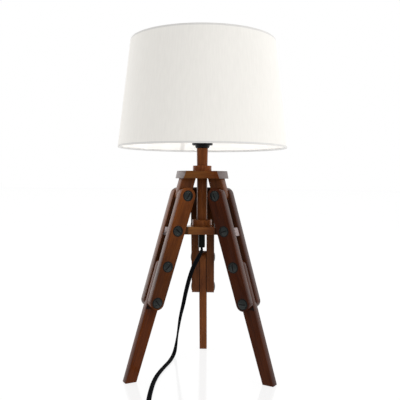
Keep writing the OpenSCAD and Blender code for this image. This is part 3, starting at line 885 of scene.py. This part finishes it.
# The stain of every leg with painted light and shade: the legs are one wood, made lighter or darker
# as the light falls on them. Factors of the light stain for its plates, tongue and lower leg, of
# the dark stain for its inner faces, a painted shade on the upper end, and what the wood higher up
# is multiplied by
LEG_STAIN_AND_LIGHT = {
    "back": {
        "plates": 0.85,
        "warmth": (1, 1.02, 0.95),
        "inside": 0.7,
        "rise": 1.0,
        "dusk": 0.3,
        "tongue": 0.6,
        "lower": 1.05,
        "lower_warmth": (1, 1, 0.9),
    },
    "left": {
        "plates": 0.6,
        "warmth": (1, 0.92, 0.68),
        "inside": 0.9,
        "rise": 1.65,
        "dusk": 1.0,
        "tongue": 1.07,
        "lower": 0.66,
        "lower_warmth": (1, 0.76, 0.52),
    },
    "right": {
        "plates": 0.36,
        "warmth": (1, 0.66, 0.42),
        "inside": 1.9,
        "rise": 0.85,
        "dusk": 1.0,
        "tongue": 0.78,
        "lower": 0.4,
        "lower_warmth": (1, 0.72, 0.5),
    },
}
TURNED_STAINS = {"column": 1.05, "neck": 1.25, "hub_collar": 1.25, "head_collar": 1.65}


class LAMP_OT_wood(bpy.types.Operator):
    """Builds the boards of the stand with eased edges, stained grain and painted light and shade"""

    bl_idname = "lamp.wood"
    bl_label = "Build Wood"

    def execute(self, context):
        wood = context.scene.lamp_wood

        def stain(name, light, dark, along, broad, warmth=(1, 1, 1), **extra):
            return wood_material(
                name,
                scaled(wood.light, light, warmth),
                scaled(wood.dark, dark, warmth),
                wood.roughness,
                grain_turn(along, broad),
                **extra,
            )

        for leg, angle in LEG_ANGLES.items():
            tone = LEG_STAIN_AND_LIGHT[leg]
            a, lean = radians(angle), radians(LEG_SPLAY)
            side = (-sin(a), cos(a), 0)
            lie = (cos(a) * sin(lean), sin(a) * sin(lean), -cos(lean)), side
            # Inner faces between the plates get a painted light and shade, the upper end a painted
            # shade
            faces = {
                "side": side,
                "inside": scaled(wood.dark, tone["inside"], (1, 1.3, 1.4)),
                "dusk": tone["dusk"],
                "rise": tone["rise"],
            }
            # Lower legs get a painted shadow along the rims that the plates clamp
            low = {"warmth": tone["lower_warmth"], "rim_shadow_across": side}
            plates = stain("wood_" + leg, tone["plates"], 1, *lie, tone["warmth"], **faces)
            lower = stain("wood_lower_" + leg, tone["lower"], 1, *lie, **low)
            upper = stain("wood_upper_" + leg, tone["tongue"], 1, *lie, dusk=tone["dusk"])
            self.board(f"outer_plate_{leg}_a", plates, wood.edge)
            self.board(f"outer_plate_{leg}_b", plates, wood.edge)
            self.board("tongue_" + leg, upper, wood.edge)
            self.board("lower_leg_" + leg, lower, wood.edge * 1.8)
        flat = ((1, 0, 0), (0, 0, 1))
        gold = (1.0, 1.14, 0.75)
        # Head corners: pale end grain with a painted sheen
        blunt = {"ends": HEAD_CORNER, "end_grain_and_sheen": (0.13, 0.1, 0.095)}
        # Head and hub take a painted light across them, lighter at the left
        head = stain("wood_head", 1.2, 1.4, *flat, gold, across=True, gloss=0.1, **blunt)
        self.board("head_plate", head, wood.edge)
        tips = self.reach("hub") - HUB_TIP
        hub = stain("wood_hub", 1.6, 1.4, *flat, gold, across=True, gloss=0.16, tips=tips)
        self.board("hub", hub, wood.edge * 0.6)
        upright = ((0, 0, 1), (0, -1, 0))
        for node, tone in TURNED_STAINS.items():
            material = stain("wood_" + node, tone, tone, *upright, gloss=0.06)
            self.board(node, material, 0.5 * MM)
        return {"FINISHED"}

    def reach(self, node):
        """How far out a node's points lie, carried along the lean of the legs to the floor."""
        slope = tan(radians(LEG_SPLAY))
        points = [v.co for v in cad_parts[node].data.vertices]
        return max(Vector(p[:2]).length + p.z * slope for p in points)

    def board(self, node, material, edge):
        link(node + "_wood", eased(node, edge), material, replaced=[node])


# Radius and height above the brim of the painted shadow ring round every bolt head, in millimetres
SHADOW_RING_PROFILE = ((7.6, 0.02), (9.6, 0.02), (9.4, 0.2), (7.6, 0.2))


class LAMP_OT_metal(bpy.types.Operator):
    """Dresses the bolts with painted shade in slots and rings, the threaded tube, its nut and the
    gland
    """

    bl_idname = "lamp.metal"
    bl_label = "Dress Metal"

    def execute(self, context):
        dark = plain_material("gunmetal", (0.016, 0.02, 0.019), 0.26, 0.5, 0.0001)
        steel = plain_material("zinc", (0.52, 0.52, 0.54), 0.35, 1.0, 0.0001)
        black = plain_material("gland", (0.003, 0.004, 0.003), 0.35, Specular_IOR_Level=0.08)
        # Near black for a painted shade in the slots and a painted shadow ring round every head
        slot_and_ring_shade = plain_material("bolt_painted_shade", (0.006, 0.005, 0.005), 0.5, Specular_IOR_Level=0.15)
        for node, towards in (("connector_bolts", -1), ("cap_nuts", 1)):
            piece = link(node + "_eased", eased(node, 0.4 * MM, 2), dark)
            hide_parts(node)
            piece.data.materials.append(slot_and_ring_shade)
            heads = self.heads(piece.data, towards)
            # Painted shade on the floor and walls of every slot
            self.paint_slot_shade(piece.data, heads)
            # A painted shadow ring round every head
            rims = mesh_of(node + "_rims", *self.rims(heads))
            link(node + "_rims", rims, slot_and_ring_shade)
        for node in ("threaded_tube", "hub_washer", "hub_nut"):
            dress(node, steel)
        dress("cord_gland", black)
        return {"FINISHED"}

    def heads(self, mesh, towards):
        """The centre of every head's flat side and the direction the head looks in."""
        found = []
        points = [v.co.copy() for v in mesh.vertices]
        for angle in LEG_ANGLES.values():
            a = radians(angle)
            out = Vector((cos(a), sin(a), 0))
            axis = Vector((-sin(a), cos(a), 0)) * towards
            own = [p for p in points if p.dot(out) > 0 and abs(p.dot(axis)) < 1.7 * p.dot(out)]
            level = max(p.dot(axis) for p in own) - BOLT_HEAD_H * MM
            brim = [p for p in own if abs(p.dot(axis) - level) < 0.3 * MM]
            groups = []
            for p in sorted(brim, key=lambda q: q.z):
                if not groups or p.z - groups[-1][-1].z > 5 * MM:
                    groups.append([])
                groups[-1].append(p)
            for group in groups:
                along = [p.dot(out) for p in group]
                z = (group[0].z + group[-1].z) / 2
                centre = out * (min(along) + max(along)) / 2 + axis * level
                found.append((Vector((centre.x, centre.y, z)), axis))
        return found

    def paint_slot_shade(self, mesh, heads):
        """Gives the floor and the walls of every head's slot the second material, a painted shade.
        """
        floor_at, half_width, reach = SLOT_FLOOR_H * MM, 1.1 * MM, 9 * MM
        for face in mesh.polygons:
            for centre, axis in heads:
                away = face.center - centre
                if away.length > reach:
                    continue
                up = away.dot(axis)
                facing = abs(face.normal.dot(axis))
                floor = facing > 0.99 and abs(up - floor_at) < 0.15 * MM
                offset = abs(away.dot(face.normal))
                wall = facing < 0.1 and offset < half_width and up > floor_at
                if floor or wall:
                    face.material_index = 1

    def rims(self, heads):
        """A thin dark ring round every head: a painted shadow."""
        points, faces = [], []
        sides = 32
        n = len(SHADOW_RING_PROFILE)
        for centre, axis in heads:
            first = len(points)
            flat = Vector((0, 0, 1)).cross(axis).normalized()
            for k in range(sides):
                turn = 2 * pi * k / sides
                spoke = flat * cos(turn) + Vector((0, 0, 1)) * sin(turn)
                for r, h in SHADOW_RING_PROFILE:
                    points.append(tuple(centre + spoke * r * MM + axis * h * MM))
            for k in range(sides):
                a, b = first + n * k, first + n * ((k + 1) % sides)
                for j in range(n):
                    i = (j + 1) % n
                    faces.append((a + j, b + j, b + i, a + i))
        return points, faces


class LAMP_OT_holder(bpy.types.Operator):
    """Dresses the lampholder and the shade ring nut"""

    bl_idname = "lamp.holder"
    bl_label = "Dress Lampholder"

    def execute(self, context):
        black = plain_material("holder", (0.003, 0.003, 0.004), 0.25, Specular_IOR_Level=0.12)
        ivory = plain_material("insulator", (0.78, 0.75, 0.68), 0.6, scale=300.0)
        brass = plain_material("brass", (0.72, 0.5, 0.2), 0.28, 1.0, 0.0001)
        base = link("holder_base_eased", eased("holder_base", 0.3 * MM, 1), black)
        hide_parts("holder_base")
        dress("holder_skirt", black)
        dress("shade_ring_nut", black)
        dress("holder_insert", ivory)
        dress("screw_shell", brass)
        dress("centre_contact", brass)
        return {"FINISHED"}


class LAMP_OT_bulb(bpy.types.Operator):
    """Dresses the bulb"""

    bl_idname = "lamp.bulb"
    bl_label = "Dress Bulb"

    def execute(self, context):
        opal = plain_material(
            "opal_glass", (0.88, 0.88, 0.86), 0.22, 0.0, 0.00005, Coat_Weight=0.4
        )
        cap = plain_material("bulb_cap", (0.72, 0.72, 0.74), 0.3, 1.0, 0.0001)
        dress("bulb_glass", opal)
        dress("bulb_cap", cap)
        dress("bulb_tip", cap)
        return {"FINISHED"}


# How far behind the shade's outer face every layer begins and ends, in millimetres
SHADE_LAYERS = {
    "cloth": (0.2, 0.8),
    "liner": (0.85, 1.3),
    "fold": (1.35, 1.8),
    "liner_seam": (1.3, 2.1),
    "cloth_seam": (0.2, -0.1),
}
HEM_HALF_H = 2.0 * MM
HEM_HALF_T = 0.75 * MM
FOLD = (0.8 * MM, 11 * MM)


class ShadeWall:
    """The sloping wall of the shade, from the box of its solid."""

    def __init__(self):
        low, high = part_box("shade_cloth")
        self.bottom, self.top = low.z, high.z
        self.slope = SHADE_TAPER * MM / (self.top - self.bottom)

    def radius(self, z):
        return SHADE_LOW_R * MM - (z - self.bottom) * self.slope

    def heights(self, margin, steps):
        """Even heights from rim to rim, with a margin at both."""
        span = self.top - self.bottom - 2 * margin
        return [self.bottom + margin + span * k / steps for k in range(steps + 1)]

    def layer(self, name, heights):
        """The closed profile of a layer through the given heights."""
        near, far = SHADE_LAYERS[name]
        skin = [(self.radius(z) - near * MM, z) for z in heights]
        return skin + [(self.radius(z) - far * MM, z) for z in reversed(heights)]

    def hem(self, rim, inwards):
        """The oval profile of the rolled edge along a rim."""
        middle = rim + inwards * HEM_HALF_H
        ring = []
        for k in range(16):
            a = 2 * pi * k / 16
            z = middle + HEM_HALF_H * sin(a)
            ring.append((self.radius(z) + HEM_HALF_T * (cos(a) - 1), z))
        return ring


class LAMP_OT_shade(bpy.types.Operator):
    """Builds the cloth shade with its rolled hems, liner, seam and wires"""

    bl_idname = "lamp.shade"
    bl_label = "Build Shade"

    def execute(self, context):
        shade = context.scene.lamp_shade
        wall = ShadeWall()
        threads, sides, mid_r = shade.threads, shade.segments, SHADE_MID_R * MM
        # Cloth and hem glow by shade.glow, a painted light; the hem glows half as much
        cloth = cloth_material("shade_cloth", shade.cloth, threads, mid_r, shade.glow)
        hem = cloth_material("shade_hem", shade.hem, threads, mid_r, shade.glow * 0.5)
        # The liner and its fold bands glow: a painted light that brightens the inside of the shade
        inner = plain_material(
            "shade_liner",
            (0.9, 0.89, 0.87),
            0.7,
            scale=60.0,
            Emission_Color=(1, 0.97, 0.93, 1),
            Emission_Strength=0.33,
        )
        white = plain_material("white_wire", (0.85, 0.85, 0.84), 0.4)
        # The seam tape glows too: a painted light
        tape = plain_material(
            "seam_tape",
            (0.72, 0.71, 0.69),
            0.7,
            Emission_Color=(1, 0.97, 0.93, 1),
            Emission_Strength=0.26,
        )
        heights = wall.heights(2.2 * MM, 12)
        skin = turned("cloth", wall.layer("cloth", heights), sides)
        link("cloth", skin, cloth, replaced=["shade_cloth"])
        for name, rim, inwards in (("hem_low", wall.bottom, 1), ("hem_top", wall.top, -1)):
            link(name, turned(name, wall.hem(rim, inwards), sides), hem)
        for name, rim, inwards in (("fold_low", wall.bottom, 1), ("fold_top", wall.top, -1)):
            band = wall.layer("fold", [rim + inwards * x for x in FOLD])
            link(name, turned(name, band, sides), inner)
        lined = turned("liner", wall.layer("liner", heights), sides)
        link("liner", lined, inner, replaced=["shade_liner"])
        self.seam("liner_seam", wall, 4.3 * MM, tape, "shade_liner")
        self.seam("cloth_seam", wall, 4.4 * MM, cloth, "shade_cloth")
        for node in ("shade_top_ring", "shade_low_ring", "shade_fitter"):
            dress(node, white)
        return {"FINISHED"}

    def seam(self, name, wall, half, material, slot):
        """An upright overlap strip on the shade's wall, half as wide to each side."""
        points, faces = [], []
        heights = wall.heights(2.4 * MM, 8)
        spread = [-1, -0.5, 0, 0.5, 1]
        for z in heights:
            for inset in SHADE_LAYERS[name]:
                for s in spread:
                    a = radians(SEAM_ANGLE) + s * half / wall.radius(z)
                    r = wall.radius(z) - inset * MM
                    points.append((r * cos(a), r * sin(a), z))
        n = len(spread)
        for k in range(len(heights) - 1):
            a, b = k * 2 * n, (k + 1) * 2 * n
            for j in range(n - 1):
                faces.append((a + j, a + j + 1, b + j + 1, b + j))
                faces.append((a + n + j, b + n + j, b + n + j + 1, a + n + j + 1))
            faces.append((a, b, b + n, a + n))
            faces.append((a + n - 1, a + 2 * n - 1, b + 2 * n - 1, b + n - 1))
        for k in (0, (len(heights) - 1) * 2 * n):
            for j in range(n - 1):
                faces.append((k + j, k + j + 1, k + n + j + 1, k + n + j))
        link(name, mesh_of(name, points, faces), material)


FLOOR_HALF = 20.0
FLOOR_DROP = 0.2 * MM


class LAMP_OT_stage(bpy.types.Operator):
    """Adds the pale glossy floor, the white surroundings and the soft lights"""

    bl_idname = "lamp.stage"
    bl_label = "Build Stage"

    def execute(self, context):
        stage = context.scene.lamp_stage
        context.scene.view_settings.view_transform = "Standard"
        self.floor()
        self.surroundings(context, stage)
        boxes = (
            ("left_box", (-1.9, 1.5, 0.55), (1.2, 1.8), stage.left_box),
            ("right_box", (1.9, 1.5, 0.55), (1.2, 1.8), stage.right_box),
            ("key", (1.9, -1.2, 0.9), (1.6, 1.6), stage.key),
            ("fill", (-2.0, -1.0, 0.9), (1.6, 1.6), stage.fill),
            ("strip", (0.12, -2.4, 0.7), (0.22, 1.8), stage.strip),
        )
        for name, where, size, power in boxes:
            light = self.soft_box(context, name, where, size, power)
            light.visible_glossy = name in ("left_box", "right_box")
        return {"FINISHED"}

    def floor(self):
        """A white floor that glows more to the back, with a thin gloss."""
        s = Shader("floor")
        s.tree.nodes.remove(s.surface)
        where = s.place()
        cloud = s.noise(where, 3.0)
        white = s.ramp(cloud, [(0.3, (0.995, 0.995, 0.995)), (0.7, (1, 1, 1))])
        fade = s.add(
            "MapRange",
            {"Value": s.part(where, "Y")},
            interpolation_type="SMOOTHSTEP",
            From_Min=-1.3,
            From_Max=-0.2,
            To_Min=0.55,
            To_Max=1.06,
        )
        glow = s.add("Emission", {"Color": white, "Strength": fade.outputs["Result"]})
        matt = s.add("BsdfDiffuse", {"Color": white})
        gloss = s.add("BsdfGlossy", Roughness=0.1)
        body = s.add("MixShader", {1: glow.outputs[0], 2: matt.outputs[0]}, Fac=0.1)
        sheen = s.add("MixShader", {1: body.outputs[0], 2: gloss.outputs[0]}, Fac=0.12)
        s.feed(s.output.inputs["Surface"], sheen.outputs[0])
        half = FLOOR_HALF
        corners = [(-half, -half, 0), (half, -half, 0), (half, half, 0), (-half, half, 0)]
        mesh = mesh_of("floor", corners, [(0, 1, 2, 3)])
        mesh.materials.append(s.material)
        floor = bpy.data.objects.new("floor", mesh)
        floor.location.z = -FLOOR_DROP
        bpy.context.scene.collection.objects.link(floor)

    def surroundings(self, context, stage):
        """White surroundings, dimmer in front of the lamp."""
        world = bpy.data.worlds.new("studio")
        context.scene.world = world
        world.use_nodes = True
        nodes, links = world.node_tree.nodes, world.node_tree.links
        where = nodes.new("ShaderNodeTexCoord")
        split = nodes.new("ShaderNodeSeparateXYZ")
        spread = nodes.new("ShaderNodeMapRange")
        spread.interpolation_type = "SMOOTHSTEP"
        spread.inputs["From Min"].default_value = -0.35
        spread.inputs["From Max"].default_value = 0.35
        spread.inputs["To Min"].default_value = stage.front_light
        spread.inputs["To Max"].default_value = stage.back_light
        links.new(where.outputs["Generated"], split.inputs[0])
        links.new(split.outputs["Y"], spread.inputs["Value"])
        links.new(spread.outputs["Result"], nodes["Background"].inputs["Strength"])
        nodes["Background"].inputs["Color"].default_value = (1, 1, 1, 1)

    def soft_box(self, context, name, where, size, power):
        data = bpy.data.lights.new(name, "AREA")
        data.shape = "RECTANGLE"
        data.size, data.size_y = size
        data.energy = power
        light = bpy.data.objects.new(name, data)
        light.location = where
        aim = Vector((0, 0, 0.3)) - Vector(where)
        light.rotation_euler = aim.to_track_quat("-Z", "Y").to_euler()
        light.visible_camera = False
        context.scene.collection.objects.link(light)
        return light


class LAMP_PT_panel(bpy.types.Panel):
    """The lamp's settings and steps in the sidebar"""

    bl_idname = "LAMP_PT_panel"
    bl_label = "Tripod Lamp"
    bl_space_type = "VIEW_3D"
    bl_region_type = "UI"
    bl_category = "Tripod Lamp"

    def draw(self, context):
        for group in SETTINGS:
            box = self.layout.box()
            settings = getattr(context.scene, group)
            for name in settings.__annotations__:
                box.prop(settings, name)
        for step in OPERATORS:
            self.layout.operator(step.bl_idname)


SETTINGS = {
    "lamp_wood": LampWoodSettings,
    "lamp_shade": LampShadeSettings,
    "lamp_cord": LampCordSettings,
    "lamp_stage": LampStageSettings,
}
OPERATORS = (
    LAMP_OT_camera,
    LAMP_OT_lead,
    LAMP_OT_wood,
    LAMP_OT_metal,
    LAMP_OT_holder,
    LAMP_OT_bulb,
    LAMP_OT_shade,
    LAMP_OT_stage,
)
CLASSES = (*SETTINGS.values(), *OPERATORS, LAMP_PT_panel)


def register():
    for c in CLASSES:
        bpy.utils.register_class(c)
    for name, kind in SETTINGS.items():
        setattr(bpy.types.Scene, name, PointerProperty(type=kind))


def unregister():
    for name in SETTINGS:
        delattr(bpy.types.Scene, name)
    for c in reversed(CLASSES):
        bpy.utils.unregister_class(c)


def main():
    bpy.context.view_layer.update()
    register()
    bpy.ops.lamp.camera()
    bpy.ops.lamp.lead()
    bpy.ops.lamp.wood()
    bpy.ops.lamp.metal()
    bpy.ops.lamp.holder()
    bpy.ops.lamp.bulb()
    bpy.ops.lamp.shade()
    bpy.ops.lamp.stage()


if __name__ == "__main__":
    main()
